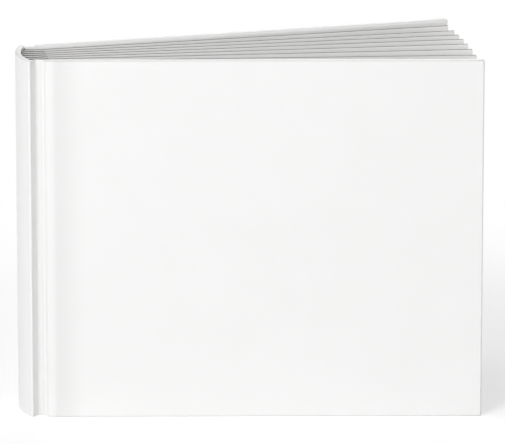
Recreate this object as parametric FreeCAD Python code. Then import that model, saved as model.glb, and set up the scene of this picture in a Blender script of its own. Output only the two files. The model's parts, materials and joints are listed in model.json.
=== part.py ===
import FreeCAD, Part
import math
import os
from FreeCAD import Vector

# A landscape hardcover album that stands on its tail edges with its covers a little open, in millimetres.
# X runs from the rounded spine to the fore-edge, Y from the front cover to the back cover, and Z up.
# Each cover is built closed, against its own hinge line, and then turned out to its standing angle.

# Leaves
LEAF_HEIGHT = 203.0
LEAF_REACH = 247.0          # from the hinge line to the fore-edge, along the leaf
LEAF_THICKNESS = 1.6
LEAF_COUNT = 7
GUARD_THICKNESS = 3.5       # spacer strip bound between two leaves, which leaves room for mounted prints
GUARD_END = 8.0             # how far the spacer strips reach past the hinge line
GUARD_SHORTFALL = 0.5       # the spacer strips end this far inside the head and tail of the leaves
LEAF_BEND = 25.0            # radius at which a leaf curves away from the bound edge
FAN_SHARES = (5.6, 5.5, 5.0, 4.5, 4.0, 4.0, 5.0, 3.1)   # gaps at the fore-edge, from front cover to back cover
BACK_SHOULDER_RADIUS = 0.5

# Covers
SQUARE = 1.5                # a cover stands past the leaves by this at head and tail
BOARD_WIDTH = 245.0
BOARD_THICKNESS = 4.5
BOARD_ARRIS = 0.5
BOARD_HINGE_RADIUS = 2.0    # the outer arris beside the groove is well rounded
GROOVE_HALF = 4.5           # from the hinge line to the edge of the board
GROOVE_COVE = 1.2
WRAP = 0.5                  # covering sheet
TURN_IN = 15.0              # the covering sheet folds over the edges of a board by this much
ENDPAPER = 0.5
ENDPAPER_MARGIN = 3.0       # the pasted endpaper stops this far from the fore-edge
PRESS_GAP = 0.1             # between a shut cover and the outer leaf
OPEN_ANGLE = 8.5            # each cover, out from the middle plane
HINGE_CLEARANCE = 0.15

# Spine
SPINE_BOARD = 2.2
SPINE_RISE = 4.4           # how far the rounded spine bulges
SPINE_SETBACK = 5.2         # from the hinge line back to the edges of the spine board
SPINE_EDGE_INSET = 1.2      # the spine board stops this far inside the outer faces of the covers
SPINE_CORNER_LENGTH = 1.1   # the covering sheet runs past the spine board by this before it turns in
SPINE_CORNER_RADIUS = 0.5
GROOVE_FOOT = 1.2           # from the hinge line to the foot of the groove's spine side
GROOVE_FOOT_RADIUS = 1.0
LINING = 0.5
GLUE_LINE = 0.08            # between the back of the leaves and the lining
HOLLOW = 0.3                # air between the case and the lined back of the leaves

# Worked out from the sizes above
COVER_HEIGHT = LEAF_HEIGHT + 2.0 * SQUARE
LEAF_PITCH = LEAF_THICKNESS + GUARD_THICKNESS
BLOCK_HALF = (LEAF_COUNT * LEAF_THICKNESS + (LEAF_COUNT - 1) * GUARD_THICKNESS) / 2.0
HINGE_Y = BLOCK_HALF + PRESS_GAP + ENDPAPER + WRAP
HALF = HINGE_Y + BOARD_THICKNESS + WRAP
BOARD_END = GROOVE_HALF + BOARD_WIDTH
COVER_END = BOARD_END + WRAP
KNUCKLE_RADIUS = (WRAP + ENDPAPER) / 2.0
STRIP_START = KNUCKLE_RADIUS + HINGE_CLEARANCE    # the cover's side of the groove begins here

SPINE_CHORD = HALF - SPINE_EDGE_INSET
SPINE_RADIUS = (SPINE_CHORD ** 2 + SPINE_RISE ** 2) / (2.0 * SPINE_RISE)    # middle of the covering sheet
SPINE_CENTRE_X = SPINE_RADIUS - SPINE_RISE - SPINE_SETBACK
SPINE_OUTER = SPINE_RADIUS - WRAP / 2.0
SPINE_INNER = SPINE_OUTER - SPINE_BOARD
BACK_RADIUS = SPINE_INNER - WRAP - HOLLOW - LINING - GLUE_LINE

UP = Vector(0, 0, 1)
ORIGIN = Vector(0, 0, 0)
FAR = 3.0 * max(COVER_END, COVER_HEIGHT)
EPS = 1e-9
SAME_PLACE = 1e-6           # two places nearer than this are one


def point(x, y):
    return Vector(x, y, 0)


def block(x0, x1, y0, y1, z0, z1):
    return Part.makeBox(x1 - x0, y1 - y0, z1 - z0, Vector(x0, y0, z0))


def pillar(radius, x=0.0, y=0.0, height=COVER_HEIGHT):
    return Part.makeCylinder(radius, height, point(x, y), UP)


def raised(face, z0, z1):
    lifted = face.copy()
    lifted.translate(UP * z0)
    return lifted.extrude(UP * (z1 - z0))


def joined(first, *others):
    return first.fuse(list(others)).removeSplitter()


def rounded(points, radii):
    """Edges along a line through points, each inner corner rounded by a tangent arc of its own radius."""
    edges = []
    start = points[0]
    for before, corner, after, radius in zip(points, points[1:], points[2:], radii):
        back = (before - corner).normalize()
        ahead = (after - corner).normalize()
        half = back.getAngle(ahead) / 2.0
        if math.pi / 2.0 - half < EPS:
            continue
        if radius < SAME_PLACE:
            edges.append(Part.LineSegment(start, corner).toShape())
            start = corner
            continue
        reach = radius / math.tan(half)
        entry = corner + back * reach
        leave = corner + ahead * reach
        crown = corner + (back + ahead).normalize() * (radius / math.sin(half) - radius)
        if (entry - start).Length > EPS:
            edges.append(Part.LineSegment(start, entry).toShape())
        edges.append(Part.Arc(entry, crown, leave).toShape())
        start = leave
    edges.append(Part.LineSegment(start, points[-1]).toShape())
    return edges


def beside(points, radii, offset):
    """The same line moved to its left by offset, with the radii that keep the two parallel."""
    moved = []
    changed = []
    count = len(points)
    for index, corner in enumerate(points):
        into = (corner - points[index - 1]).normalize() if index else None
        out = (points[index + 1] - corner).normalize() if index < count - 1 else None
        into = into or out
        out = out or into
        left_in = UP.cross(into)
        left_out = UP.cross(out)
        middle = (left_in + left_out).normalize()
        moved.append(corner + middle * (offset / middle.dot(left_in)))
        if 0 < index < count - 1:
            turn = 1.0 if into.cross(out).z > 0 else -1.0
            changed.append(max(radii[index - 1] - turn * offset, 0.0))
    return moved, changed


def ribbon(points, radii, thickness):
    """A flat band of one thickness along the rounded line."""
    left = rounded(*beside(points, radii, thickness / 2.0))
    right = rounded(*beside(points, radii, -thickness / 2.0))
    start = Part.LineSegment(left[0].firstVertex(True).Point, right[0].firstVertex(True).Point).toShape()
    end = Part.LineSegment(left[-1].lastVertex(True).Point, right[-1].lastVertex(True).Point).toShape()
    return Part.Face(Part.Wire(Part.__sortEdges__(left + right + [start, end])))


def round_back(chord, radius, overrun):
    """A curved back seen in plan: its front corner, and the far vertex where its sides meet.

    The corner lies past the end of the arc, along its tangent, by overrun.
    """
    angle = math.asin(chord / radius)
    edge = point(SPINE_CENTRE_X - radius * math.cos(angle), -chord)
    corner = edge + point(math.sin(angle), -math.cos(angle)) * overrun
    return corner, point(SPINE_CENTRE_X - radius / math.cos(angle), 0.0)


def both_sides(front, vertex):
    """A line from the front side round the vertex to the back side."""
    return front + [vertex] + [point(p.x, -p.y) for p in reversed(front)]


def groove_wall():
    """The middle of the covering sheet on the front groove's spine side: its foot, and its spine corner."""
    corner, _ = round_back(SPINE_CHORD, SPINE_RADIUS, SPINE_CORNER_LENGTH)
    return point(-GROOVE_FOOT, -HINGE_Y - WRAP / 2.0), corner


def bevelled_end(radius):
    """Where an arc of the spine meets the bevel of the spine board's front edge, parallel to the groove wall."""
    foot, corner = groove_wall()
    slope = (foot - corner).normalize()
    angle = math.asin(SPINE_CHORD / SPINE_RADIUS)
    from_centre = point(math.cos(angle), math.sin(angle)) * -SPINE_OUTER
    across = from_centre.dot(slope)
    step = -across - math.sqrt(across ** 2 - SPINE_OUTER ** 2 + radius ** 2)
    return point(SPINE_CENTRE_X, 0.0) + from_centre + slope * step


def spine_layer(outer_radius, inner_radius):
    """A layer of the spine in plan, between two arcs, with its edges bevelled towards the grooves."""
    edges = []
    ends = []
    for radius in (outer_radius, inner_radius):
        front = bevelled_end(radius)
        back = point(front.x, -front.y)
        ends.append((front, back))
        edges.append(Part.Arc(front, point(SPINE_CENTRE_X - radius, 0.0), back).toShape())
    edges += [Part.makeLine(outer, inner) for outer, inner in zip(*ends)]
    return Part.Face(Part.Wire(Part.__sortEdges__(edges)))


def make_spine_board():
    return raised(spine_layer(SPINE_OUTER, SPINE_INNER), WRAP, COVER_HEIGHT - WRAP)


def make_spine_wrap():
    """The covering sheet of the spine, from one hinge line to the other, folded in at head and tail."""
    foot, corner = groove_wall()
    _, vertex = round_back(SPINE_CHORD, SPINE_RADIUS, SPINE_CORNER_LENGTH)
    side_radii = [GROOVE_FOOT_RADIUS, SPINE_CORNER_RADIUS]
    line = both_sides([point(0.0, foot.y), foot, corner], vertex)
    sheet = ribbon(line, side_radii + [SPINE_RADIUS] + side_radii[::-1], WRAP)
    shell = raised(sheet, 0.0, COVER_HEIGHT)
    edge_fold = spine_layer(SPINE_OUTER, SPINE_INNER)
    inner_fold = spine_layer(SPINE_INNER, SPINE_INNER - WRAP)
    pieces = [
        raised(edge_fold, 0.0, WRAP),
        raised(edge_fold, COVER_HEIGHT - WRAP, COVER_HEIGHT),
        raised(inner_fold, 0.0, TURN_IN),
        raised(inner_fold, COVER_HEIGHT - TURN_IN, COVER_HEIGHT),
        pillar(KNUCKLE_RADIUS, 0.0, -HINGE_Y),
        pillar(KNUCKLE_RADIUS, 0.0, HINGE_Y),
    ]
    return joined(shell, *pieces)


def bound_outline(end_x):
    """The outline of the bound edge in plan, from the front side at end_x round to the back side."""
    inset = 2.0 * BACK_SHOULDER_RADIUS
    chord = BLOCK_HALF - inset
    overrun = inset / math.cos(math.asin(chord / BACK_RADIUS))
    shoulder, vertex = round_back(chord, BACK_RADIUS, overrun)
    radii = [BACK_SHOULDER_RADIUS, BACK_RADIUS, BACK_SHOULDER_RADIUS]
    return both_sides([point(end_x, -BLOCK_HALF), shoulder], vertex), radii


def make_spine_lining():
    """The cloth glued round the back of the leaves, whose wings reach to the hinge lines."""
    line, radii = bound_outline(-STRIP_START)
    middle, middle_radii = beside(line, radii, GLUE_LINE + LINING / 2.0)
    return raised(ribbon(middle, middle_radii, LINING), SQUARE, SQUARE + LEAF_HEIGHT)


def bound_edge():
    """The face of the bound edge in plan: round at the back, square where the leaves leave it."""
    line, radii = bound_outline(GUARD_END)
    closing = Part.makeLine(line[-1], line[0])
    return Part.Face(Part.Wire(rounded(line, radii) + [closing]))


def leaf_rows():
    """The place of each leaf in the bound edge, and the place of its fore-edge in the fan."""
    angle = math.radians(OPEN_ANGLE)
    inner = HINGE_Y + LEAF_REACH * math.sin(angle) - (ENDPAPER + WRAP) * math.cos(angle)
    free = 2.0 * inner - LEAF_COUNT * LEAF_THICKNESS
    shares = [FAN_SHARES[k % len(FAN_SHARES)] for k in range(LEAF_COUNT + 1)]
    rows = []
    end_y = -inner - LEAF_THICKNESS / 2.0
    for index in range(LEAF_COUNT):
        end_y += free * shares[index] / sum(shares) + LEAF_THICKNESS
        rows.append((-BLOCK_HALF + LEAF_THICKNESS / 2.0 + index * LEAF_PITCH, end_y))
    return rows


def make_page_block():
    """Seven stiff leaves bound with spacer strips, fanned out as they stand between the covers."""
    edge = bound_edge()
    head = SQUARE + LEAF_HEIGHT
    bound = raised(edge, SQUARE + GUARD_SHORTFALL, head - GUARD_SHORTFALL)
    behind = block(-FAR, 0.0, -FAR, FAR, 0.0, COVER_HEIGHT).cut(raised(edge, 0.0, COVER_HEIGHT))
    leaves = []
    free_length = LEAF_REACH - GUARD_END
    start_x = SPINE_CENTRE_X - BACK_RADIUS - LINING
    for bound_y, end_y in leaf_rows():
        turn = math.asin((end_y - bound_y) / free_length)
        end = point(GUARD_END + free_length * math.cos(turn), bound_y + free_length * math.sin(turn))
        path = [point(start_x, bound_y), point(GUARD_END, bound_y), end]
        leaf = raised(ribbon(path, [LEAF_BEND], LEAF_THICKNESS), SQUARE, head)
        leaves.append(leaf.cut(behind))
    return joined(bound, *leaves)


def upright_at(edge, x, y):
    middle = edge.CenterOfMass
    upright = edge.BoundBox.ZLength > edge.BoundBox.XLength + edge.BoundBox.YLength
    return upright and abs(middle.x - x) < SAME_PLACE and abs(middle.y - y) < SAME_PLACE


def soften(panel, hinge_x, depth, hinge_radius, arris):
    """Rounds the outer hinge arris with its large radius and every other arris with the small one."""
    at_hinge = [e for e in panel.Edges if upright_at(e, hinge_x, -depth)]
    panel = panel.makeFillet(hinge_radius, at_hinge)
    others = [e for e in panel.Edges if e.CenterOfMass.x > hinge_x + hinge_radius]
    return panel.makeFillet(arris, others)


def make_board():
    """A greyboard panel against its closed hinge line, outer face towards -Y."""
    panel = block(GROOVE_HALF, BOARD_END, -BOARD_THICKNESS, 0.0, WRAP, COVER_HEIGHT - WRAP)
    return soften(panel, GROOVE_HALF, BOARD_THICKNESS, BOARD_HINGE_RADIUS, BOARD_ARRIS)


def make_cover_wrap(board):
    """The covering sheet of one board: face, groove, and folds over three edges."""
    depth = BOARD_THICKNESS + WRAP
    outside = block(GROOVE_HALF - WRAP, COVER_END, -depth, WRAP, 0.0, COVER_HEIGHT)
    outside = soften(outside, GROOVE_HALF - WRAP, depth, BOARD_HINGE_RADIUS + WRAP, BOARD_ARRIS + WRAP)
    window = block(0.0, COVER_END - TURN_IN, 0.0, 2.0 * WRAP, TURN_IN, COVER_HEIGHT - TURN_IN)
    edge_x = GROOVE_HALF - WRAP
    strip = block(STRIP_START, edge_x, -WRAP, 0.0, 0.0, COVER_HEIGHT)
    cove = block(edge_x - GROOVE_COVE, edge_x, -WRAP - GROOVE_COVE, -WRAP, 0.0, COVER_HEIGHT)
    cove = cove.cut(pillar(GROOVE_COVE, edge_x - GROOVE_COVE, -WRAP - GROOVE_COVE))
    return joined(outside.cut(board).cut(window), strip, cove)


def make_pastedown():
    """The endpaper on the inner side of a board, which steps up over the folds of the covering sheet."""
    foot, head = SQUARE, COVER_HEIGHT - SQUARE
    edge_x = GROOVE_HALF - WRAP
    fold_x = COVER_END - TURN_IN
    end_x = COVER_END - ENDPAPER_MARGIN
    low_strip = block(STRIP_START, edge_x, 0.0, ENDPAPER, foot, head)
    low_panel = block(STRIP_START, fold_x, 0.0, ENDPAPER, TURN_IN, COVER_HEIGHT - TURN_IN)
    over_folds = block(edge_x - ENDPAPER, end_x, WRAP, WRAP + ENDPAPER, foot, head)
    inner = block(0.0, fold_x - ENDPAPER, 0.0, 2.0 * (WRAP + ENDPAPER), TURN_IN + ENDPAPER,
                  COVER_HEIGHT - TURN_IN - ENDPAPER)
    return joined(over_folds.cut(inner), low_strip, low_panel)


def opened(shape):
    """Turns a closed cover piece out to its standing angle, on the front hinge line."""
    turned = shape.copy()
    turned.rotate(ORIGIN, UP, -OPEN_ANGLE)
    turned.translate(point(0.0, -HINGE_Y))
    return turned


def make_nodes():
    board = make_board()
    cover = {"board": board, "wrap": make_cover_wrap(board), "pastedown": make_pastedown()}
    nodes = {
        "spine_board": make_spine_board(),
        "spine_wrap": make_spine_wrap(),
        "spine_lining": make_spine_lining(),
        "page_block": make_page_block(),
    }
    for name, shape in cover.items():
        front = opened(shape)
        nodes["front_" + name] = front
        nodes["back_" + name] = front.mirror(ORIGIN, Vector(0, 1, 0))
    return nodes


def main():
    os.makedirs("parts", exist_ok=True)
    nodes = make_nodes()
    box = Part.makeCompound(list(nodes.values())).optimalBoundingBox(True, False)
    shift = point(-box.Center.x, 0.0)
    print("hinge lines at x %.4f, y -/+ %.4f" % (shift.x, HINGE_Y))
    print("size %.3f x %.3f x %.3f" % (box.XLength, box.YLength, box.ZLength))
    for name, shape in sorted(nodes.items()):
        placed = shape.copy()
        placed.translate(shift)
        print(name, placed.isValid(), len(placed.Solids), "solid, volume %.1f" % placed.Volume)
        placed.exportStep("parts/%s.step" % name)


main()
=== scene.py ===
"""The looks of a landscape hardcover album that stands open: sheet, endpapers, card leaves and cloth."""

import json
import logging
import math
from collections.abc import Callable
from dataclasses import dataclass, field
from enum import Enum

import bmesh
import bpy
import numpy as np
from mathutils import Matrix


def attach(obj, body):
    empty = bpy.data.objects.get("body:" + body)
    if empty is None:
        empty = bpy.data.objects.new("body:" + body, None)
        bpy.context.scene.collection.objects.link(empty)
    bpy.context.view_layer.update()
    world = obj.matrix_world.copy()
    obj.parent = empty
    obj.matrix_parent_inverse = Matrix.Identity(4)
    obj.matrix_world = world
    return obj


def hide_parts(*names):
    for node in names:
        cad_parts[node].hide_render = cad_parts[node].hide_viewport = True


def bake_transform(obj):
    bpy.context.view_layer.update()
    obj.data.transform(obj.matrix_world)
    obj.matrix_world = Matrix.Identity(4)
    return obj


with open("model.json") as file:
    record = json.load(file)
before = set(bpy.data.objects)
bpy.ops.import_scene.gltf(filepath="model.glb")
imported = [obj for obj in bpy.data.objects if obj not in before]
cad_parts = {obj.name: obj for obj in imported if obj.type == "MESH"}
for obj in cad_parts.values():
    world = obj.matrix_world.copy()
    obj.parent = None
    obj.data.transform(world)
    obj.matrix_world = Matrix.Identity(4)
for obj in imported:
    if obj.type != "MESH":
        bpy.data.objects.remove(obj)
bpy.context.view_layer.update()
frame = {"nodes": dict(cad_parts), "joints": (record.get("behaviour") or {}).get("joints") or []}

MM = 0.001
WELD = 1e-7
SUPPORT = 0.04 * MM
SMOOTH_ANGLE = math.radians(32.0)
LOG = logging.getLogger("album")

Piece = bpy.types.Object
Node = bpy.types.Node
Socket = bpy.types.NodeSocket
Colour = tuple[float, float, float, float]


class Side(Enum):
    """The two covers, by the direction in which each lies from the middle plane."""

    FRONT = -1.0
    BACK = 1.0

    @property
    def body(self) -> str:
        """The moving body of this cover."""
        return self.node("cover")

    def node(self, part: str) -> str:
        """The name of one of this cover's own nodes."""
        return f"{self.name.lower()}_{part}"


class Mark(Enum):
    """What a point of a mesh tells its material."""

    # Painted shade beside and in the groove of each cover.
    PRESSED = "pressed"
    HANDLED = "handled"
    PLY = "ply"


def unit(vectors: np.ndarray) -> np.ndarray:
    """Vectors of length one in the same directions."""
    return vectors / np.linalg.norm(vectors, axis=-1, keepdims=True)


def right_of(directions: np.ndarray) -> np.ndarray:
    """Plan directions turned a quarter turn to their right."""
    return np.stack([directions[..., 1], -directions[..., 0]], axis=-1)


def beside(points: np.ndarray, distance: float) -> np.ndarray:
    """A plan line moved to its right, each corner along its mitre.

    A corner moves by distance over the cosine of half its turn, along the bisector of its two normals.

    Args:
        points: the corners of the line, one a row.
        distance: how far the line moves.

    Returns:
        The corners of the moved line.
    """
    runs = unit(np.diff(points, axis=0))
    into = right_of(np.vstack([runs[:1], runs]))
    out = right_of(np.vstack([runs, runs[-1:]]))
    mitre = unit(into + out)
    return points + mitre * (distance / np.sum(mitre * into, axis=1, keepdims=True))


def bend(before: np.ndarray, corner: np.ndarray, after: np.ndarray, radius: float,
         steps: int) -> np.ndarray:
    """Points of the arc that rounds a corner of a plan line, with a support point just off each end.

    The arc's centre lies on the bisector, at radius over the sine of half the corner, and its points are
    the end radii blended by the sines of their shares of the turn.

    Args:
        before: a point on the run into the corner.
        corner: the sharp corner.
        after: a point on the run out of it.
        radius: the radius of the arc.
        steps: how many points the arc has.

    Returns:
        The points, one a row.
    """
    back, ahead = unit(before - corner), unit(after - corner)
    half = 0.5 * math.acos(float(np.clip(back @ ahead, -1.0, 1.0)))
    reach = radius / math.tan(half)
    centre = corner + unit(back + ahead) * (radius / math.sin(half))
    first, last = corner + back * reach - centre, corner + ahead * reach - centre
    turn = math.pi - 2.0 * half
    share = np.linspace(0.0, 1.0, steps)[:, None]
    arc = centre + (np.sin((1.0 - share) * turn) * first + np.sin(share * turn) * last) / math.sin(turn)
    return np.vstack([arc[0] + back * SUPPORT, arc, arc[-1] + ahead * SUPPORT])


def soft_step(values: np.ndarray, low: float, high: float) -> np.ndarray:
    """Nought below low, one above high, and between them three shares squared less two shares cubed."""
    share = np.clip((values - low) / (high - low), 0.0, 1.0)
    return share * share * (3.0 - 2.0 * share)


def linked(name: str, data: bpy.types.ID) -> Piece:
    """An object of this data, in the scene."""
    thing = bpy.data.objects.new(name, data)
    bpy.context.scene.collection.objects.link(thing)
    return thing


@dataclass
class Skin:
    """Grids of points that are gathered, welded and made one mesh."""

    points: list[np.ndarray] = field(default_factory=list)
    quads: list[np.ndarray] = field(default_factory=list)
    slots: list[np.ndarray] = field(default_factory=list)
    marks: dict[Mark, list[np.ndarray]] = field(default_factory=lambda: {mark: [] for mark in Mark})

    def add(self, grid: np.ndarray, flip: bool, slot: np.ndarray | int = 0,
            marks: dict[Mark, np.ndarray] | None = None) -> None:
        """Adds the quads between neighbouring rows and columns of a grid.

        Args:
            grid: points by row and column.
            flip: whether the quads face the other way.
            slot: the material slot of every quad, or of each quad by row and column.
            marks: numbers for each point, which the materials read; a mark left out is nought.
        """
        rows, columns = grid.shape[:2]
        index = np.arange(rows * columns).reshape(rows, columns) + sum(map(len, self.points))
        quads = np.stack([index[:-1, :-1], index[:-1, 1:], index[1:, 1:], index[1:, :-1]], axis=-1)
        quads = quads.reshape(-1, 4)
        self.quads.append(quads[:, ::-1] if flip else quads)
        self.slots.append(np.broadcast_to(slot, (rows - 1, columns - 1)).reshape(-1))
        self.points.append(grid.reshape(-1, 3))
        given = marks or {}
        for mark, parts in self.marks.items():
            parts.append(np.broadcast_to(given.get(mark, 0.0), (rows, columns)).reshape(-1))

    def made(self, name: str, depth: float = 0.0) -> Piece:
        """The object of the gathered grids, smooth apart from its sharp edges.

        Doubles are welded, and flat remains of quads are removed.

        Args:
            name: the object's name.
            depth: the thickness that an open skin gets, away from the way that it faces.

        Returns:
            The object, with a closed mesh.
        """
        mesh = bpy.data.meshes.new(name)
        mesh.from_pydata(np.vstack(self.points), [], np.vstack(self.quads))
        mesh.polygons.foreach_set("material_index", np.concatenate(self.slots).astype(np.int32))
        for mark, parts in self.marks.items():
            attribute = mesh.attributes.new(mark.value, "FLOAT", "POINT")
            attribute.data.foreach_set("value", np.concatenate(parts).astype(np.float32))
        shape = bmesh.new()
        shape.from_mesh(mesh)
        bmesh.ops.remove_doubles(shape, verts=shape.verts, dist=WELD)
        bmesh.ops.dissolve_degenerate(shape, edges=shape.edges, dist=WELD)
        shape.to_mesh(mesh)
        shape.free()
        piece = linked(name, mesh)
        if depth:
            wall = piece.modifiers.new("wall", "SOLIDIFY")
            wall.thickness, wall.offset = depth, -1.0
            graph = bpy.context.evaluated_depsgraph_get()
            final = piece.evaluated_get(graph)
            mesh = bpy.data.meshes.new_from_object(final, preserve_all_data_layers=True, depsgraph=graph)
            piece.modifiers.clear()
            piece.data = mesh
            mesh.name = name
        mesh.polygons.foreach_set("use_smooth", np.ones(len(mesh.polygons), bool))
        mesh.set_sharp_from_angle(angle=SMOOTH_ANGLE)
        return piece


@dataclass(frozen=True)
class Album:
    """The sizes that its pieces share, in metres, with x from the hinge lines towards the fore-edge."""

    height: float = 206.0 * MM
    open_angle: float = math.radians(8.5)
    cover_end: float = 250.0 * MM
    board: float = 4.5 * MM
    sheet: float = 0.5 * MM
    turn_in: float = 15.0 * MM
    groove_edge: float = 4.0 * MM
    groove_cove: float = 1.2 * MM
    hinge_radius: float = 2.5 * MM
    arris: float = 1.0 * MM
    square: float = 1.5 * MM
    leaf: float = 1.6 * MM
    guard: float = 3.5 * MM
    leaf_count: int = 7
    spine_board: float = 2.2 * MM
    spine_rise: float = 4.4 * MM
    spine_setback: float = 5.2 * MM
    spine_inset: float = 1.2 * MM
    lined_gap: float = 1.38 * MM

    @property
    def hinge(self) -> np.ndarray:
        """The front hinge line in plan, which the frame gives."""
        joint = next(j for j in frame["joints"] if j["child"] == Side.FRONT.body)
        return np.array(joint["pos_m"][:2])

    @property
    def half(self) -> float:
        """From the middle plane to a shut cover's outer face."""
        return -self.hinge[1] + self.board + self.sheet

    @property
    def block_half(self) -> float:
        """Half the thickness of the bound edge."""
        return (self.leaf_count * self.leaf + (self.leaf_count - 1) * self.guard) / 2.0

    @property
    def spine_radius(self) -> float:
        """The radius of the middle of the spine's covering sheet, from its chord and its rise."""
        chord = self.half - self.spine_inset
        return (chord ** 2 + self.spine_rise ** 2) / (2.0 * self.spine_rise)

    @property
    def spine_centre(self) -> float:
        """Where the spine's centre lies, from the hinge line."""
        return self.spine_radius - self.spine_rise - self.spine_setback

    @property
    def back_radius(self) -> float:
        """The radius of the round back of the leaves."""
        return self.spine_radius - self.sheet / 2.0 - self.spine_board - self.lined_gap


ALBUM = Album()


def placed(plan: np.ndarray, heights: np.ndarray, side: Side) -> np.ndarray:
    """Points in space from plan places against the front hinge line, mirrored for the back cover.

    Args:
        plan: x from the hinge line and y from the middle plane, of the front side.
        heights: z of each point.
        side: the cover.

    Returns:
        The points.
    """
    x = plan[..., 0] + ALBUM.hinge[0]
    y = plan[..., 1] * -side.value
    return np.stack([x, y, np.broadcast_to(heights, x.shape)], axis=-1)


def raised(plan: np.ndarray, heights: np.ndarray, side: Side) -> np.ndarray:
    """A wall of points: each place of a plan line, at each of the heights."""
    return placed(np.broadcast_to(plan[:, None], (len(plan), len(heights), 2)), heights[None, :], side)


def opened(reach: np.ndarray | float, rise: np.ndarray | float) -> np.ndarray:
    """Plan places on a standing cover: the closed cover turned about its hinge line by the opening angle.

    Args:
        reach: from the hinge line along the cover.
        rise: from the plane of the board's inner face, towards the leaves.

    Returns:
        Plan places of the front side.
    """
    cos, sin = math.cos(ALBUM.open_angle), math.sin(ALBUM.open_angle)
    return np.stack([reach * cos + rise * sin, ALBUM.hinge[1] - reach * sin + rise * cos], axis=-1)


@dataclass
class CoveringSheet:
    """Half of the laminated sheet, from the middle of the spine over one board and round its edges.

    Its grid has lines at near_corner millimetres from a corner, and is finer up to fine_end. Shade is
    painted on it in a band beside the groove, and less of it in the groove.
    """

    side: Side
    margin: float = 10.0 * MM
    groove_fold: float = 1.4 * MM
    spine_corner: float = 1.1 * MM
    spine_corner_radius: float = 0.75 * MM
    foot: float = 1.2 * MM
    foot_radius: float = 0.75 * MM
    flex_radius: float = 2.0 * MM
    head_round: float = 0.8 * MM
    wall: float = 0.45 * MM
    rub_width: float = 1.2 * MM
    rub_reach: float = 9.0 * MM
    rub_least: float = 0.25
    blend_end: float = 2.8 * MM
    fine_end: float = 36.0 * MM
    ring_gap: float = 0.15 * MM
    fold_gap: float = 0.2 * MM
    near_corner: tuple[float, ...] = (1.0, 1.5, 2.5, 4.0, 6.0, 8.0)
    # Where shade is painted beside the groove and in it, and how much less of it in the groove.
    painted_shade_band: tuple[float, ...] = (8.0 * MM, 10.5 * MM, 28.0 * MM)
    painted_groove_shade: tuple[float, ...] = (-2.5 * MM, -1.0 * MM, 5.0 * MM, 6.4 * MM)
    groove_shade_share: float = 0.8
    arc_steps: int = 40
    bend_steps: int = 8
    quarter_steps: int = 7
    side_steps: int = 14
    fine_steps: int = 26
    coarse_steps: int = 12

    def plan_lines(self) -> tuple[np.ndarray, np.ndarray, np.ndarray, np.ndarray]:
        """The sheet in plan, from the middle of the spine to the fore-edge.

        The outer line is an arc, then straight runs with rounded corners: the spine's corner, the foot of
        the groove, the hinge line, the cove against the board and the board's outer arris. The inner line
        is where the folds at head and tail end, point for point.

        Returns:
            The distance along the cover, the outer line, the inner line, and the depth of the folds.
        """
        album, steps = ALBUM, self.bend_steps
        angle = math.asin((album.half - album.spine_inset) / album.spine_radius)
        centre = np.array([album.spine_centre, 0.0])
        tangent = np.array([math.sin(angle), -math.cos(angle)])
        edge = centre - album.spine_radius * np.array([math.cos(angle), math.sin(angle)])
        corner = edge + tangent * self.spine_corner
        foot = np.array([-self.foot, album.hinge[1] - album.sheet / 2.0])
        hinge = np.array([0.0, foot[1]])
        outside = -album.board - album.sheet
        board = opened(album.groove_edge, -album.sheet)
        arris, beyond = opened(album.groove_edge, outside), opened(album.cover_end, outside)
        knots = beside(np.array([edge, corner, foot, hinge]), album.sheet / 2.0)
        flex = knots[3] + np.array([-album.sheet * math.tan(album.open_angle / 2.0), 0.0])
        knots = np.vstack([knots[:3], flex, board, arris, beyond])
        radii = (self.spine_corner_radius, self.foot_radius, self.flex_radius, album.groove_cove,
                 album.hinge_radius)
        bends = [bend(*knots[k:k + 3], radius, steps) for k, radius in enumerate(radii)]

        turn = np.linspace(0.0, angle, self.arc_steps)[:, None]
        spoke = np.hstack([np.cos(turn), np.sin(turn)])
        outer_arc = centre - (album.spine_radius + album.sheet / 2.0) * spoke
        slope = unit(foot - corner)
        inner_radius = album.spine_radius - album.sheet * 1.5 - album.spine_board
        rim = -(album.spine_radius - album.sheet / 2.0) * spoke[-1]
        along = float(rim @ slope)
        reach = -along - math.sqrt(along ** 2 - float(rim @ rim) + inner_radius ** 2)
        end = centre + rim + slope * reach
        end_turn = math.asin(-end[1] / inner_radius)
        inner_turn = turn * (end_turn / angle)
        inner_arc = centre - inner_radius * np.hstack([np.cos(inner_turn), np.sin(inner_turn)])
        strip_y = album.hinge[1] + album.sheet
        down = end + slope * ((strip_y - end[1]) / slope[1])
        share = np.linspace(0.0, 1.0, steps + 2)[:, None]
        cove_start = opened(album.groove_edge - album.groove_cove, album.sheet)
        cove_end = opened(album.groove_edge, album.sheet)
        face_start = opened(album.groove_edge + album.hinge_radius, album.sheet)
        crease = np.array([album.sheet * math.tan(album.open_angle / 2.0), strip_y])
        inner_bends = [
            end + (down - end) * share * 0.4,
            end + (down - end) * (0.5 + 0.5 * share),
            bend(down, crease, cove_start, self.flex_radius, steps),
            cove_start + (cove_end - cove_start) * share,
            cove_end + (face_start - cove_end) * (0.1 + 0.9 * share),
        ]
        start = album.groove_edge + album.hinge_radius + SUPPORT
        fine = np.linspace(start, self.fine_end, self.fine_steps)[1:]
        coarse = np.linspace(self.fine_end, album.cover_end - self.margin, self.coarse_steps)[1:]
        close = album.cover_end - np.append(self.near_corner[::-1], 0.0) * MM
        face = np.concatenate([fine, coarse, close])
        outer = np.vstack([outer_arc, *bends, opened(face, outside)])
        inner = np.vstack([inner_arc, *inner_bends, opened(face, album.sheet)])
        runs = np.linalg.norm(np.diff(outer, axis=0), axis=1)
        along_cover = np.concatenate([[0.0], np.cumsum(runs)])
        along_cover += face[-1] - along_cover[-1]
        folds = np.full(len(outer), album.turn_in)
        first = self.arc_steps
        folds[first:first + 4 * (steps + 2)] = self.groove_fold
        return along_cover, outer, inner, folds

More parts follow.
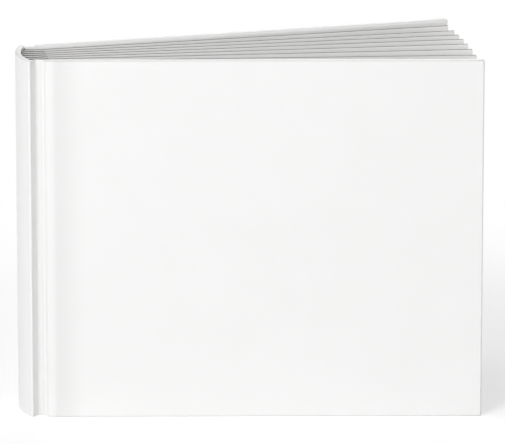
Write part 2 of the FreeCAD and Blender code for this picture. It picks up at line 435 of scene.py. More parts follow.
    def inset(self, along: np.ndarray, height: np.ndarray,
              depth: np.ndarray) -> tuple[np.ndarray, np.ndarray]:
        """Places on the cover's outline moved in by depth, with mitred corners that are round outside.

        A place is brought inside the outline shrunk by the corner's radius, and then moved back out along
        the direction that it came from by what of the radius is left.

        Args:
            along: distance along the cover, on the outline.
            height: height on the outline.
            depth: how far each place moves in.

        Returns:
            The moved distance and height.
        """
        album = ALBUM
        keep = np.maximum(depth, album.arris)
        core = np.minimum(along, album.cover_end - album.arris)
        core_height = np.clip(height, album.arris, album.height - album.arris)
        out = np.stack([along - core, height - core_height], axis=-1)
        length = np.linalg.norm(out, axis=-1, keepdims=True)
        out = np.divide(out, length, out=np.zeros_like(out), where=length > 0.0)
        left = np.maximum(album.arris - depth, 0.0)
        return (np.minimum(along, album.cover_end - keep) + out[..., 0] * left,
                np.clip(height, keep, album.height - keep) + out[..., 1] * left)

    def build(self) -> Piece:
        """The folded sheet: a profile round the edges, carried along head, fore-edge and tail, and the face.

        The profile runs in from the face to the edge by a quarter circle, over the edge, and down inside
        by another quarter circle to the end of the fold.

        Returns:
            The object.
        """
        album = ALBUM
        line, outer, inner, folds = self.plan_lines()
        quarter = np.linspace(0.0, math.pi / 2.0, self.quarter_steps)
        corner = quarter[1:-1]
        square = np.maximum(np.sin(corner), np.cos(corner))
        around = album.cover_end - album.arris + album.arris * np.sin(corner) / square
        top = album.height - album.arris + album.arris * np.cos(corner) / square
        near = np.array(self.near_corner) * MM
        middle = np.linspace(album.height - self.margin, self.margin, self.side_steps)
        side_heights = np.concatenate([album.height - near, middle, near[::-1]])
        run = line[:-1]
        side, head = np.full(len(side_heights), album.cover_end), np.full(len(run), album.height)
        along = np.concatenate([run, around, side, around[::-1], run[::-1]])
        height = np.concatenate([head, top, side_heights, album.height - top[::-1], head * 0.0])
        thick = np.interp(along, line, np.linalg.norm(inner - outer, axis=1))
        fold = np.interp(along, line, folds)
        rounding = np.minimum(np.where(along > album.groove_edge, album.arris, self.head_round), thick / 2.0)
        r, t, f = rounding[:, None], thick[:, None], fold[:, None]
        one, none = np.ones_like(r), np.zeros_like(r)
        fast, slow = r * (1.0 - np.sin(quarter)), r * (1.0 - np.cos(quarter))
        ring, inside = r + self.ring_gap, np.maximum(f * 0.5, r + self.fold_gap)
        depth = np.hstack([one * self.margin, one * self.margin * 0.5, ring, fast, slow, ring, inside, f])
        across = np.hstack([none, none, none, slow, t - fast, t, t, t])
        u, z = self.inset(along[:, None], height[:, None], depth)
        out_plan = np.stack([np.interp(u, line, outer[:, k]) for k in range(2)], axis=-1)
        in_plan = np.stack([np.interp(u, line, inner[:, k]) for k in range(2)], axis=-1)
        span = np.linalg.norm(in_plan - out_plan, axis=-1, keepdims=True)
        plan = out_plan + (in_plan - out_plan) * (across[..., None] / span)
        flip = self.side is Side.FRONT
        skin = Skin()
        end_reach = np.minimum(album.cover_end - u, np.abs(u - line[0]))
        corner_reach = np.hypot(end_reach, np.minimum(z, album.height - z))
        at_corner = self.rub_least + (1.0 - self.rub_least) * np.exp(-corner_reach / self.rub_reach)
        handled = np.exp(-(depth / self.rub_width) ** 2) * at_corner
        # The first mark is painted shade beside the groove, on the outer face only; the second is wear at
        # the edges.
        skin.add(placed(plan, z, self.side), flip,
                 marks={Mark.PRESSED: self.pressed(u) * (across < 0.5 * t), Mark.HANDLED: handled})

        face_line = np.unique(np.minimum(line, album.cover_end - self.margin))
        face_plan = np.stack([np.interp(face_line, line, outer[:, k]) for k in range(2)], axis=-1)
        face_heights = np.unique(np.clip(side_heights, self.margin, album.height - self.margin))[::-1]
        # The face gets the same painted shade beside the groove.
        skin.add(raised(face_plan, face_heights, self.side), not flip,
                 marks={Mark.PRESSED: self.pressed(face_line)[:, None]})
        piece = skin.made(f"covering_sheet_{self.side.name.lower()}", self.wall)
        start = placed(opened(-self.foot, 0.0), 0.0, self.side)
        stop = placed(opened(self.blend_end, 0.0), 0.0, self.side)
        stop[1] = start[1] = self.side.value * -album.hinge[1]
        self.side.body
        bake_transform(piece)
        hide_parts(self.side.node("wrap"), "spine_wrap")
        return piece

    def pressed(self, along: np.ndarray) -> np.ndarray:
        """How much shade is painted on the sheet: a quick rise past the arris, a slow fall, and less in the
        groove.
        """
        start, top, end = self.painted_shade_band
        band = soft_step(along, start, top) * (1.0 - soft_step(along, top, end))
        start, full, ebb, end = self.painted_groove_shade
        groove = soft_step(along, start, full) * (1.0 - soft_step(along, ebb, end))
        return np.maximum(band, self.groove_shade_share * groove)


@dataclass
class Endpaper:
    """The sheet pasted inside a cover, over the folds of the covering sheet, with a stub on the outer leaf.

    It climbs the folds in the groove between the places of climb. Its grid is finer within fold_zone of
    the folds' edges, and coarse beyond far.
    """

    side: Side
    reach: float = 247.0 * MM
    stub: float = 6.4 * MM
    depth: float = 0.3 * MM
    leaf_gap: float = 0.32 * MM
    step: float = 1.3 * MM
    ridge: float = 0.12 * MM
    ridge_width: float = 0.9 * MM
    rim: float = 0.12 * MM
    climb: tuple[float, float] = (3.2 * MM, 4.4 * MM)
    fold_zone: float = 3.0 * MM
    far: float = 4.0 * MM
    crease_steps: int = 9
    zone_steps: int = 15

    def build(self) -> Piece:
        """The endpaper: a grid along the stub, round the crease and over the board.

        Its height over the board is one sheet, and one more over the folds, with a soft step at their
        edges and a fine ridge along the mitres of the two corners.

        Returns:
            The object.
        """
        album = ALBUM
        hinge_y = album.hinge[1]
        leaf_y = -album.block_half - self.leaf_gap
        radius = (leaf_y - hinge_y - album.sheet) / 2.0
        centre = np.array([-0.1 * MM, leaf_y - radius])
        turn = np.linspace(0.0, math.pi, self.crease_steps)
        crease = centre + radius * np.stack([-np.sin(turn), np.cos(turn)], axis=-1)
        stub_x = np.array([self.stub, self.stub - 0.1 * MM, self.stub * 0.5, 0.0])
        stub = np.stack([stub_x, np.full(4, leaf_y)], axis=-1)
        fold_u = album.cover_end - album.turn_in
        zone = np.linspace(-self.fold_zone, self.fold_zone, self.zone_steps)
        gutter_u = np.concatenate([np.array([0.1, 0.6, 1.5, 3.0]) * MM, np.linspace(*self.climb, 7)[:-1]])
        face_u = np.append(np.array([4.5, 7.0]) * MM, np.linspace(14.0 * MM, fold_u - self.far, 24))
        end_u = np.linspace(fold_u + self.far, self.reach - self.rim, 7)
        u = np.concatenate([gutter_u, face_u, fold_u + zone, end_u, [self.reach]])
        low, edge = album.square, album.turn_in
        rise = np.linspace(low + 1.0 * MM, edge - 3.5 * MM, 6)
        z_low = np.concatenate([[low, low + self.rim], rise, edge + zone])
        middle = np.linspace(edge + 8.0 * MM, album.height - edge - 8.0 * MM, 12)
        z = np.concatenate([z_low, middle, album.height - z_low[::-1]])
        uu, zz = np.meshgrid(u, z, indexing="ij")
        near = np.minimum(zz, album.height - zz)
        over_ends = 1.0 - soft_step(near, edge, edge + self.step)
        over_side = soft_step(uu, fold_u - self.step, fold_u)
        fold = np.maximum(over_ends, over_side) * soft_step(uu, *self.climb)
        mitre = ((album.cover_end - uu) - near) / math.sqrt(2.0)
        ridge = self.ridge * np.exp(-(mitre / self.ridge_width) ** 2) * over_ends * over_side
        board = placed(opened(uu, album.sheet * (1.0 + fold) + ridge), z[None, :], self.side)
        gutter = raised(np.vstack([stub, crease]), z, self.side)
        skin = Skin()
        skin.add(np.concatenate([gutter, board]), self.side is Side.FRONT)
        piece = skin.made(f"endpaper_{self.side.name.lower()}", self.depth)
        x = album.hinge[0]
        self.side.body
        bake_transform(piece)
        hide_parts(self.side.node("pastedown"))
        return piece


@dataclass
class PageBlock:
    """Stiff leaves with spacer strips between them at the bound edge, fanned as they stand."""

    reach: float = 247.0 * MM
    guard_end: float = 8.0 * MM
    guard_short: float = 0.5 * MM
    bend_radius: float = 25.0 * MM
    arris: float = 0.12 * MM
    face_band: float = 0.4 * MM
    gap_shares: tuple[float, ...] = (5.6, 5.5, 5.0, 4.5, 4.0, 4.0, 5.0, 3.1)
    arc_steps: int = 9
    free_steps: int = 14

    def rows(self) -> list[tuple[float, float]]:
        """Each leaf's place in the bound edge, and its fore-edge's place in the fan, by the gaps' shares."""
        album = ALBUM
        sin, cos = math.sin(album.open_angle), math.cos(album.open_angle)
        inner = -album.hinge[1] + self.reach * sin - 2.0 * album.sheet * cos
        free = 2.0 * inner - album.leaf_count * album.leaf
        shares = np.cumsum(self.gap_shares) / sum(self.gap_shares)
        ends = [-inner + free * shares[k] + (k + 0.5) * album.leaf for k in range(album.leaf_count)]
        pitch = album.leaf + album.guard
        return [(-album.block_half + album.leaf / 2.0 + k * pitch, end) for k, end in enumerate(ends)]

    def slab(self, name: str, centre: np.ndarray, thickness: float, low: float,
             high: float) -> Piece:
        """A card with fine arrises: a rounded rectangle carried along a plan line from the round back.

        At its first ring each point lies on the arc of the back, and at its last the section shrinks by
        the arris. The cut edges take the second material slot.

        Args:
            name: the piece's name.
            centre: the plan line of its middle, from the back to the fore-edge.
            thickness: its thickness.
            low: its lower edge.
            high: its upper edge.

        Returns:
            The object.
        """
        r = self.arris
        quarter = np.linspace(0.0, math.pi / 2.0, 4)
        half, tall = thickness / 2.0, (high - low) / 2.0
        loop = []
        for turns, (side, end) in enumerate([(1.0, 1.0), (-1.0, 1.0), (-1.0, -1.0), (1.0, -1.0)]):
            angle = quarter + turns * math.pi / 2.0
            middle = np.array([side * (half - r), end * (tall - r)])
            loop.append(middle + r * np.stack([np.cos(angle), np.sin(angle)], axis=-1))
        band = tall - r - self.face_band
        near, far = np.array([[half, -band], [half, band]]), np.array([[-half, band], [-half, -band]])
        section = np.vstack([near, *loop[:2], far, *loop[2:], near[:1]])
        runs = unit(np.diff(centre, axis=0))
        heading = unit(np.vstack([runs[:1], runs[:-1] + runs[1:], runs[-1:]]))
        rings = np.vstack([centre, centre[-1:]])
        normal = np.vstack([right_of(heading), right_of(heading[-1:])])
        rings[-2] -= heading[-1] * r
        across, up = np.tile(section[:, 0], (len(rings), 1)), np.tile(section[:, 1], (len(rings), 1))
        across[-1] -= np.sign(across[-1]) * r * (np.abs(across[-1]) > half - r)
        up[-1] -= np.sign(up[-1]) * r * (np.abs(up[-1]) > tall - r)
        plan = rings[:, None, :] + normal[:, None, :] * across[..., None]
        radius = ALBUM.back_radius
        plan[0, :, 0] = ALBUM.spine_centre - np.sqrt(radius ** 2 - plan[0, :, 1] ** 2)
        height = (low + high) / 2.0 + up
        cut = np.abs(np.diff(section[:, 0])) > 0.5 * thickness
        slots = np.tile(cut.astype(int), (len(rings) - 1, 1))
        slots[-1] = 1
        body = Skin()
        ply = np.clip(section[:, 0] / half, -1.0, 1.0)
        body.add(placed(plan, height, Side.FRONT), True, slots, {Mark.PLY: ply[None, :]})
        pairs = np.stack([np.arange(1, 11), np.append(0, np.arange(19, 10, -1))])
        for ring, flip in ((0, False), (-1, True)):
            end = placed(plan[ring][pairs], height[ring][pairs], Side.FRONT)
            body.add(end, flip, 1, {Mark.PLY: ply[pairs]})
        piece = body.made(name)
        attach(piece, "spine")
        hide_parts("page_block")
        return piece

    def leaf_line(self, bound: float, end: float) -> np.ndarray:
        """A leaf's middle in plan: straight in the bound edge, an arc, and straight to the fore-edge."""
        free = self.reach - self.guard_end
        turn = math.asin((end - bound) / free)
        back = np.array([ALBUM.spine_centre - math.sqrt(ALBUM.back_radius ** 2 - bound ** 2), bound])
        corner = np.array([self.guard_end, bound])
        tip = corner + free * np.array([math.cos(turn), math.sin(turn)])
        arc = bend(back, corner, tip, self.bend_radius, self.arc_steps)
        share = np.linspace(0.0, 1.0, self.free_steps)[1:, None]
        return np.vstack([back, arc, arc[-1] + (tip - arc[-1]) * share])

    def build(self) -> list[Piece]:
        """The leaves and, between them, the spacer strips."""
        album = ALBUM
        rows = self.rows()
        low, high = album.square, album.height - album.square
        short = (low + self.guard_short, high - self.guard_short)
        pieces = [self.slab(f"leaf_{k}", self.leaf_line(*row), album.leaf, low, high)
                  for k, row in enumerate(rows, 1)]
        for k, (row, following) in enumerate(zip(rows, rows[1:]), 1):
            middle = (row[0] + following[0]) / 2.0
            back = album.spine_centre - math.sqrt(album.back_radius ** 2 - middle ** 2)
            line = np.array([[back, middle], [0.0, middle], [self.guard_end, middle]])
            pieces.append(self.slab(f"spacer_{k}", line, album.guard, *short))
        return pieces


@dataclass
class Tree:
    """The tree of a material, a world or a node group, with short calls that add its nodes and join them."""

    tree: bpy.types.NodeTree

    def node(self, kind: str, inputs: dict | None = None, **settings: object) -> Node:
        """Adds a node, and gives each input a number, a colour or another node's output.

        Args:
            kind: the node's type, without the words that all types begin with.
            inputs: what each input gets, by its name or number.
            settings: the node's own settings.

        Returns:
            The node.
        """
        node = self.tree.nodes.new("ShaderNode" + kind)
        for name, value in settings.items():
            setattr(node, name, value)
        self.feed(node, inputs or {})
        return node

    def feed(self, node: Node, inputs: dict) -> None:
        """Sets or links some of a node's inputs."""
        for name, value in inputs.items():
            if isinstance(value, Socket):
                self.tree.links.new(value, node.inputs[name])
            else:
                node.inputs[name].default_value = value

    def math(self, operation: str, first: object, second: object = 0.0) -> Socket:
        """The output of a Math node."""
        return self.node("Math", {0: first, 1: second}, operation=operation).outputs[0]

    def wave(self, phase: object) -> Socket:
        """A sine wave from nought to one."""
        return self.math("ADD", self.math("MULTIPLY", self.math("SINE", phase), 0.5), 0.5)

    def spread(self, value: object, source: tuple[float, float],
               target: tuple[float, float] = (0.0, 1.0)) -> Socket:
        """A value taken from one range to another by a soft step."""
        inputs = {"Value": value, "From Min": source[0], "From Max": source[1], "To Min": target[0],
                  "To Max": target[1]}
        return self.node("MapRange", inputs, interpolation_type="SMOOTHSTEP").outputs["Result"]

    def blend(self, share: object, first: object, second: object) -> Socket:
        """A colour between two others."""
        return self.node("Mix", {0: share, 6: first, 7: second}, data_type="RGBA").outputs[2]

    def noise(self, place: Socket, scale: object, detail: float = 2.0) -> Socket:
        """Noise from nought to one."""
        return self.node("TexNoise", {"Vector": place, "Scale": scale, "Detail": detail}).outputs[0]

    def stretched(self, place: Socket, scale: tuple[float, float, float]) -> Socket:
        """Coordinates scaled along each axis, so that a pattern on them is drawn out."""
        return self.node("Mapping", {"Vector": place, "Scale": scale}).outputs[0]

    def mark(self, mark: Mark) -> Socket:
        """One of the numbers that the mesh carries."""
        return self.node("Attribute", attribute_name=mark.value).outputs["Fac"]

    def effect(self, effect: "Effect", **inputs: object) -> Node:
        """Adds a shared node group, with its own values."""
        node = self.node("Group", node_tree=effect.group())
        self.feed(node, {name.capitalize(): value for name, value in inputs.items()})
        return node


@dataclass(frozen=True)
class Effect:
    """A shader node group that the finishes share: its name, its sockets and what fills it."""

    name: str
    inputs: tuple[str, ...]
    outputs: tuple[str, ...]
    fill: Callable[[Tree, object, Socket], list[Socket]]

    def group(self) -> bpy.types.NodeTree:
        """The node group, which is made on its first use."""
        known = bpy.data.node_groups.get(self.name)
        if known:
            return known
        group = bpy.data.node_groups.new(self.name, "ShaderNodeTree")
        for names, way in ((self.inputs, "INPUT"), (self.outputs, "OUTPUT")):
            for name in names:
                group.interface.new_socket(name, in_out=way, socket_type="NodeSocketFloat")
        tree = Tree(group)
        given = group.nodes.new("NodeGroupInput").outputs
        put_out = group.nodes.new("NodeGroupOutput")
        place = tree.node("TexCoord").outputs["Object"]
        tree.feed(put_out, dict(zip(self.outputs, self.fill(tree, given, place))))
        return group


# Each fill lays the nodes of one group, from the group's tree, its inputs and Object coordinates.


def fill_fibre(tree: Tree, given: object, place: Socket) -> list[Socket]:
    """Felted fibres: the mean of noises drawn out along two axes, and slow clouds in the sheet.

    Returns:
        The height of the fibres and the cloud.
    """
    lying = tree.noise(tree.stretched(place, (0.22, 1.0, 1.0)), given["Scale"], 3.0)
    rising = tree.noise(tree.stretched(place, (1.0, 1.0, 0.3)), given["Scale"], 3.0)
    height = tree.math("MULTIPLY", tree.math("ADD", lying, rising), 0.5)
    cloud = tree.noise(place, tree.math("MULTIPLY", given["Scale"], given["Clouds"]), 2.0)
    return [height, tree.spread(cloud, (0.3, 0.7))]


def fill_handling(tree: Tree, given: object, place: Socket) -> list[Socket]:
    """Rubbed places: how far a mesh's mark and a noise together pass one half.

    Returns:
        The mask of the rubbed places.
    """
    broken = tree.math("SUBTRACT", tree.noise(place, given["Scale"], 4.0), 0.5)
    reach = tree.math("ADD", given["Mark"], tree.math("MULTIPLY", broken, 0.9))
    return [tree.math("MULTIPLY", tree.spread(reach, (0.35, 0.95)), given["Amount"])]


def fill_plies(tree: Tree, given: object, place: Socket) -> list[Socket]:
    """A cut edge: a wave across the thickness, disturbed by noise, with torn fibres between the plies.

    Returns:
        The height of the plies, and their shade.
    """
    torn = tree.noise(place, given["Scale"], 4.0)
    across = tree.math("MULTIPLY", given["Across"], given["Plies"])
    wave = tree.wave(tree.math("ADD", across, tree.math("MULTIPLY", torn, 3.0)))
    return [tree.math("ADD", tree.math("MULTIPLY", wave, 0.6), tree.math("MULTIPLY", torn, 0.4)), wave]


def fill_flecks(tree: Tree, given: object, place: Socket) -> list[Socket]:
    """Specks of pulp: where a fine noise passes a limit, in two sizes.

    Returns:
        The mask of the dark specks and that of the light ones.
    """
    fine = tree.noise(tree.stretched(place, (0.6, 1.0, 1.0)), given["Scale"], 1.0)
    coarse = tree.noise(place, tree.math("MULTIPLY", given["Scale"], 0.4), 1.0)
    return [tree.spread(fine, (0.62, 0.72)), tree.spread(coarse, (0.64, 0.75))]


def fill_weave(tree: Tree, given: object, place: Socket) -> list[Socket]:
    """An open plain weave: threads up and across as raised sine waves, the higher one on top.

    Returns:
        The height of the threads and the mask of the holes between them.
    """
    axes = tree.node("SeparateXYZ", {0: place}).outputs
    rising, lying = [tree.wave(tree.math("MULTIPLY", axes[k], given["Pitch"])) for k in (1, 2)]
    height = tree.math("MAXIMUM", rising, lying)
    return [height, tree.spread(height, (0.15, 0.4), (1.0, 0.0))]


FIBRE = Effect("paper_fibre", ("Scale", "Clouds"), ("Height", "Cloud"), fill_fibre)
HANDLING = Effect("handled_edges", ("Mark", "Scale", "Amount"), ("Mask",), fill_handling)
PLIES = Effect("cut_plies", ("Across", "Plies", "Scale"), ("Height", "Shade"), fill_plies)
FLECKS = Effect("pulp_flecks", ("Scale",), ("Dark", "Light"), fill_flecks)
WEAVE = Effect("open_weave", ("Pitch",), ("Height", "Holes"), fill_weave)


def grey(value: float, warmth: float = 0.0) -> Colour:
    """A grey, with its blue lowered by warmth and its red and green by a little of it."""
    return (value, value - 0.3 * warmth, value - warmth, 1.0)


@dataclass(frozen=True)
class Finish:
    """A paper: its colour clouds a little, and its fibres turn its roughness and its normal."""

    name: str
    colour: Colour
    clouded: Colour
    roughness: tuple[float, float]
    fibre_scale: float = 900.0
    clouds: float = 0.05
    relief: float = 0.05 * MM
    gloss: float = 0.3

    def colour_of(self, tree: Tree, fibre: Node) -> Socket:
        """The colour over the surface."""
        return tree.blend(fibre.outputs["Cloud"], self.clouded, self.colour)

    def height_of(self, tree: Tree, fibre: Node) -> Socket:
        """The height over the surface, from nought to one."""
        return fibre.outputs["Height"]

    def settings(self) -> dict[str, float]:
        """What is the same all over the surface."""
        return {"Specular IOR Level": self.gloss}

    def made(self) -> bpy.types.Material:
        """A Principled material that reads Object coordinates and the marks of the mesh."""
        material = bpy.data.materials.new(self.name)
        material.use_nodes = True
        tree = Tree(material.node_tree)
        paint = material.node_tree.nodes["Principled BSDF"]
        fibre = tree.effect(FIBRE, scale=self.fibre_scale, clouds=self.clouds)
        height = self.height_of(tree, fibre)
        bump = tree.node("Bump", {"Height": height, "Distance": self.relief, "Strength": 1.0})
        colour = self.colour_of(tree, fibre)
        rough = tree.spread(fibre.outputs["Height"], (0.3, 0.7), self.roughness)
        tree.feed(paint, {"Base Color": colour, "Roughness": rough, "Normal": bump.outputs[0]})
        tree.feed(paint, self.settings())
        return material


@dataclass(frozen=True)
class LaminatedSheet(Finish):
    """The covering sheet: white, under a thin matt film, with painted shade beside the groove, and duller
    where it was rubbed.
    """

    # The grey of the painted shade beside the groove.
    pressed: Colour = grey(0.81, 0.005)
    rubbed: Colour = grey(0.66, 0.03)
    film: float = 0.25
    film_roughness: float = 0.38
    print_through: float = 0.35

    def colour_of(self, tree: Tree, fibre: Node) -> Socket:
        """White, then the painted shade beside the groove, then the rubbed edges."""
        base = super().colour_of(tree, fibre)
        # Painted shade: the sheet turns grey where the mesh's mark is high, beside and in the groove.
        pressed = tree.blend(tree.mark(Mark.PRESSED), base, self.pressed)
        handled = tree.effect(HANDLING, mark=tree.mark(Mark.HANDLED), scale=700.0, amount=0.45)
        return tree.blend(handled.outputs["Mask"], pressed, self.rubbed)

    def height_of(self, tree: Tree, fibre: Node) -> Socket:
        """The fibres, and the board's own waviness, which shows through the sheet."""
        waviness = tree.math("MULTIPLY", fibre.outputs["Cloud"], self.print_through)
        return tree.math("ADD", fibre.outputs["Height"], waviness)

    def settings(self) -> dict[str, float]:
        """The film is a thin coat."""
        return super().settings() | {"Coat Weight": self.film, "Coat Roughness": self.film_roughness}


@dataclass(frozen=True)
class CutEdge(Finish):
    """The cut edge of card: grey pulp in plies between the white faces."""

    core: Colour = grey(0.13, 0.01)
    plies: float = 9.0

    def layers(self, tree: Tree) -> Node:
        """The plies, which colour and height both read."""
        return tree.effect(PLIES, across=tree.mark(Mark.PLY), plies=self.plies, scale=1400.0)

    def colour_of(self, tree: Tree, fibre: Node) -> Socket:
        """The plies' shade, with dark specks."""
        layered = tree.blend(self.layers(tree).outputs["Shade"], self.core, self.colour)
        flecks = tree.effect(FLECKS, scale=1500.0)
        return tree.blend(tree.math("MULTIPLY", flecks.outputs["Dark"], 0.5), layered, self.clouded)

    def height_of(self, tree: Tree, fibre: Node) -> Socket:
        """The plies."""
        return self.layers(tree).outputs["Height"]


@dataclass(frozen=True)
class Greyboard(Finish):
    """Pressed grey pulp with dark and light specks."""

    dark: Colour = grey(0.22, 0.02)
    light: Colour = grey(0.66, 0.04)

    def colour_of(self, tree: Tree, fibre: Node) -> Socket:
        """The pulp's colour under its specks."""
        flecks = tree.effect(FLECKS, scale=650.0).outputs
        pulp = super().colour_of(tree, fibre)
        base = tree.blend(tree.math("MULTIPLY", flecks["Dark"], 0.7), pulp, self.dark)
        return tree.blend(tree.math("MULTIPLY", flecks["Light"], 0.6), base, self.light)


@dataclass(frozen=True)
class LiningCloth(Finish):
    """Open-weave cotton under dried glue."""

    turns: float = 2.0 * math.pi / (1.1 * MM)
    glue: Colour = grey(0.6, 0.06)

    def colour_of(self, tree: Tree, fibre: Node) -> Socket:
        """Threads, with glue in the holes."""
        weave = tree.effect(WEAVE, pitch=self.turns)
        return tree.blend(weave.outputs["Holes"], super().colour_of(tree, fibre), self.glue)

    def height_of(self, tree: Tree, fibre: Node) -> Socket:
        """The threads."""
        return tree.effect(WEAVE, pitch=self.turns).outputs["Height"]

    def settings(self) -> dict[str, float]:
        """Cotton has a soft sheen."""
        return super().settings() | {"Sheen Weight": 0.2, "Sheen Roughness": 0.5}


@dataclass
class BackLining:
    """The open-weave cloth that is glued round the back of the leaves."""

    lift: float = 0.52 * MM
    depth: float = 0.4 * MM
    inset: float = 1.0 * MM
    shoulder: float = 0.7 * MM
    wing_end: float = 0.65 * MM
    arc_steps: int = 24
    bend_steps: int = 6
    rows: int = 30

    def build(self, block: list[Piece]) -> Piece:
        """The cloth: a plan line along a wing, round a shoulder and over half the arc, mirrored, and raised.

        Args:
            block: the leaves and strips that it is glued to; not used.

        Returns:
            The object.
        """
        album = ALBUM
        turn = math.asin((album.block_half - self.inset) / album.back_radius)
        radius = album.back_radius + self.lift
        centre = np.array([album.spine_centre, 0.0])
        side_y = -album.block_half - self.lift
        edge = centre - radius * np.array([math.cos(turn), math.sin(turn)])
        slope = np.array([math.sin(turn), -math.cos(turn)])
        corner = edge + slope * ((side_y - edge[1]) / slope[1])
        wing = np.array([-self.wing_end, side_y])
        angles = np.linspace(turn, 0.0, self.arc_steps)[1:, None]
        arc = centre - radius * np.hstack([np.cos(angles), np.sin(angles)])
        half = np.vstack([wing, bend(wing, corner, edge, self.shoulder, self.bend_steps), arc])
        plan = np.vstack([half, half[-2::-1] * np.array([1.0, -1.0])])
        low, high = album.square, album.height - album.square
        z = np.linspace(low, high, self.rows)
        skin = Skin()
        skin.add(raised(plan, z, Side.FRONT), False)
        piece = skin.made("back_lining", self.depth)
        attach(piece, "spine")
        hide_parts("spine_lining")
        return piece


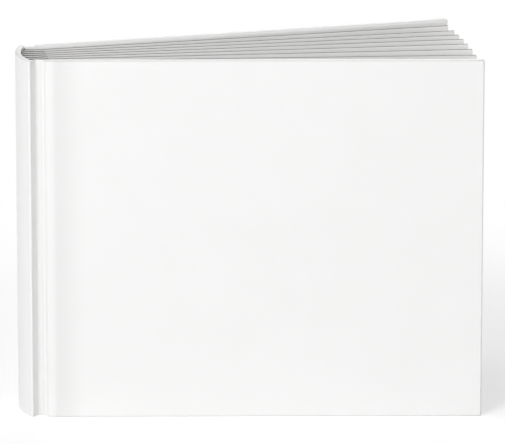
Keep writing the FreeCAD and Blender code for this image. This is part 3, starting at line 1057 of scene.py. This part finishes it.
@dataclass
class Studio:
    """Camera, floor, lamps and world: a lamp is a name, a place, a size in metres and a power."""

    distance: float = 3.2
    azimuth: float = math.radians(-8.98)
    elevation: float = math.radians(13.87)
    target: tuple[float, float, float] = (6.0 * MM, 0.0, 103.5 * MM)
    lens: float = 401.0
    dome: float = 0.38
    floor_lift: float = 0.36
    floor_half: float = 3.0
    fade: tuple[float, float] = (0.16, 0.5)
    lamps: tuple[tuple, ...] = (("key", (-1.75, -1.95, 0.95), 1.5, 46.0),
                                ("fill", (1.6, -1.9, 0.8), 1.5, 8.0), ("back", (0.8, 2.2, 0.9), 1.5, 15.0))

    def camera(self) -> None:
        """A long lens at the drawing's angle."""
        data = bpy.data.cameras.new("camera")
        data.lens = self.lens
        data.sensor_width = 36.0
        data.clip_start, data.clip_end = 0.05, 50.0
        camera = linked("camera", data)
        flat, up = math.cos(self.elevation), math.sin(self.elevation)
        away = np.array([math.sin(self.azimuth) * flat, -math.cos(self.azimuth) * flat, up])
        camera.location = np.array(self.target) + away * self.distance
        camera.rotation_euler = (math.pi / 2.0 - self.elevation, 0.0, self.azimuth)
        bpy.context.scene.camera = camera

    def lamp(self, name: str, place: tuple[float, float, float], size: float, power: float) -> None:
        """A square soft lamp that faces the middle of the object."""
        data = bpy.data.lights.new(name, "AREA")
        data.size, data.energy = size, power
        lamp = linked(name, data)
        lamp.location = place
        towards = np.array(self.target) - np.array(place)
        yaw = math.atan2(towards[1], towards[0]) - math.pi / 2.0
        pitch = math.atan2(math.hypot(towards[0], towards[1]), -towards[2])
        lamp.rotation_euler = (pitch, 0.0, yaw)

    @staticmethod
    def seen(tree: Tree) -> Socket:
        """One for rays from the camera, from a reflection or through a clear piece, and else nought."""
        path = tree.node("LightPath").outputs
        bounced = tree.math("MAXIMUM", path["Is Glossy Ray"], path["Is Transmission Ray"])
        return tree.math("MAXIMUM", path["Is Camera Ray"], bounced)

    def world(self) -> None:
        """An even white dome, which the camera and reflections see as plain white."""
        world = bpy.data.worlds.new("studio")
        world.use_nodes = True
        world.node_tree.nodes.clear()
        tree = Tree(world.node_tree)
        dome = tree.node("Background", {"Color": grey(1.0), "Strength": self.dome})
        plain = tree.node("Background", {"Color": grey(1.0), "Strength": 1.0})
        mixed = tree.node("MixShader", {0: self.seen(tree), 1: dome.outputs[0], 2: plain.outputs[0]})
        tree.node("OutputWorld", {"Surface": mixed.outputs[0]})
        bpy.context.scene.world = world

    def floor(self) -> None:
        """A pale floor that keeps the shadow, and fades to plain white for the camera further out."""
        mesh = bpy.data.meshes.new("floor")
        corners = np.array([(-1, -1, 0), (1, -1, 0), (1, 1, 0), (-1, 1, 0)]) * self.floor_half
        mesh.from_pydata(corners, [], [(0, 1, 2, 3)])
        floor = linked("floor", mesh)
        material = bpy.data.materials.new("pale_floor")
        material.use_nodes = True
        material.node_tree.nodes.clear()
        tree = Tree(material.node_tree)
        seen = self.seen(tree)
        glow = tree.math("MULTIPLY", seen, self.floor_lift)
        matt = {"Base Color": grey(0.86), "Roughness": 0.9, "Specular IOR Level": 0.1}
        paint = tree.node("BsdfPrincipled", matt)
        tree.feed(paint, {"Emission Color": grey(1.0), "Emission Strength": glow})
        plain = tree.node("Emission", {"Color": grey(1.0), "Strength": 1.0})
        place = tree.node("TexCoord").outputs["Object"]
        away = tree.node("VectorMath", {0: place}, operation="LENGTH").outputs["Value"]
        share = tree.math("MULTIPLY", seen, tree.spread(away, self.fade))
        mixed = tree.node("MixShader", {0: share, 1: paint.outputs[0], 2: plain.outputs[0]})
        tree.node("OutputMaterial", {"Surface": mixed.outputs[0]})
        mesh.materials.append(material)

    def build(self) -> None:
        """Sets up the whole studio."""
        self.camera()
        self.floor()
        self.world()
        for lamp in self.lamps:
            self.lamp(*lamp)
        bpy.context.scene.view_settings.view_transform = "Standard"


def dress(piece: Piece, *materials: bpy.types.Material) -> None:
    """Gives a piece its materials in the order of its slots, and reports it.

    Args:
        piece: a new piece or a node of the frame.
        materials: one for each slot.
    """
    slots = piece.data.materials
    for number, material in enumerate(materials):
        if number < len(slots):
            slots[number] = material
        else:
            slots.append(material)
    LOG.info("%s: %d faces, %s", piece.name, len(piece.data.polygons), ", ".join(m.name for m in materials))


def main() -> None:
    """Builds the album and its studio."""
    logging.basicConfig(level=logging.INFO, format="%(message)s")
    sheet = LaminatedSheet("laminated_sheet", grey(0.883, 0.004), grey(0.875, 0.005), (0.42, 0.54),
                           fibre_scale=500.0, relief=0.02 * MM, gloss=0.4).made()
    paper = Finish("endpaper_sheet", grey(0.85, 0.012), grey(0.835, 0.014), (0.78, 0.92)).made()
    card = Finish("card_face", grey(0.86, 0.012), grey(0.845, 0.014), (0.68, 0.84),
                  fibre_scale=700.0).made()
    edge = CutEdge("card_cut_edge", grey(0.24, 0.012), grey(0.1, 0.01), (0.85, 0.98),
                   relief=0.08 * MM).made()
    board = Greyboard("greyboard", grey(0.46, 0.03), grey(0.4, 0.03), (0.85, 0.97),
                      relief=0.08 * MM).made()
    cloth = LiningCloth("lining_cloth", grey(0.74, 0.05), grey(0.7, 0.05), (0.8, 0.95),
                        relief=0.2 * MM).made()
    for side in Side:
        dress(CoveringSheet(side).build(), sheet)
        dress(Endpaper(side).build(), paper)
        dress(frame["nodes"][side.node("board")], board)
    block = PageBlock().build()
    for piece in block:
        dress(piece, card, edge)
    dress(BackLining().build(block), cloth)
    dress(frame["nodes"]["spine_board"], board)
    Studio().build()


if __name__ == "__main__":
    main()
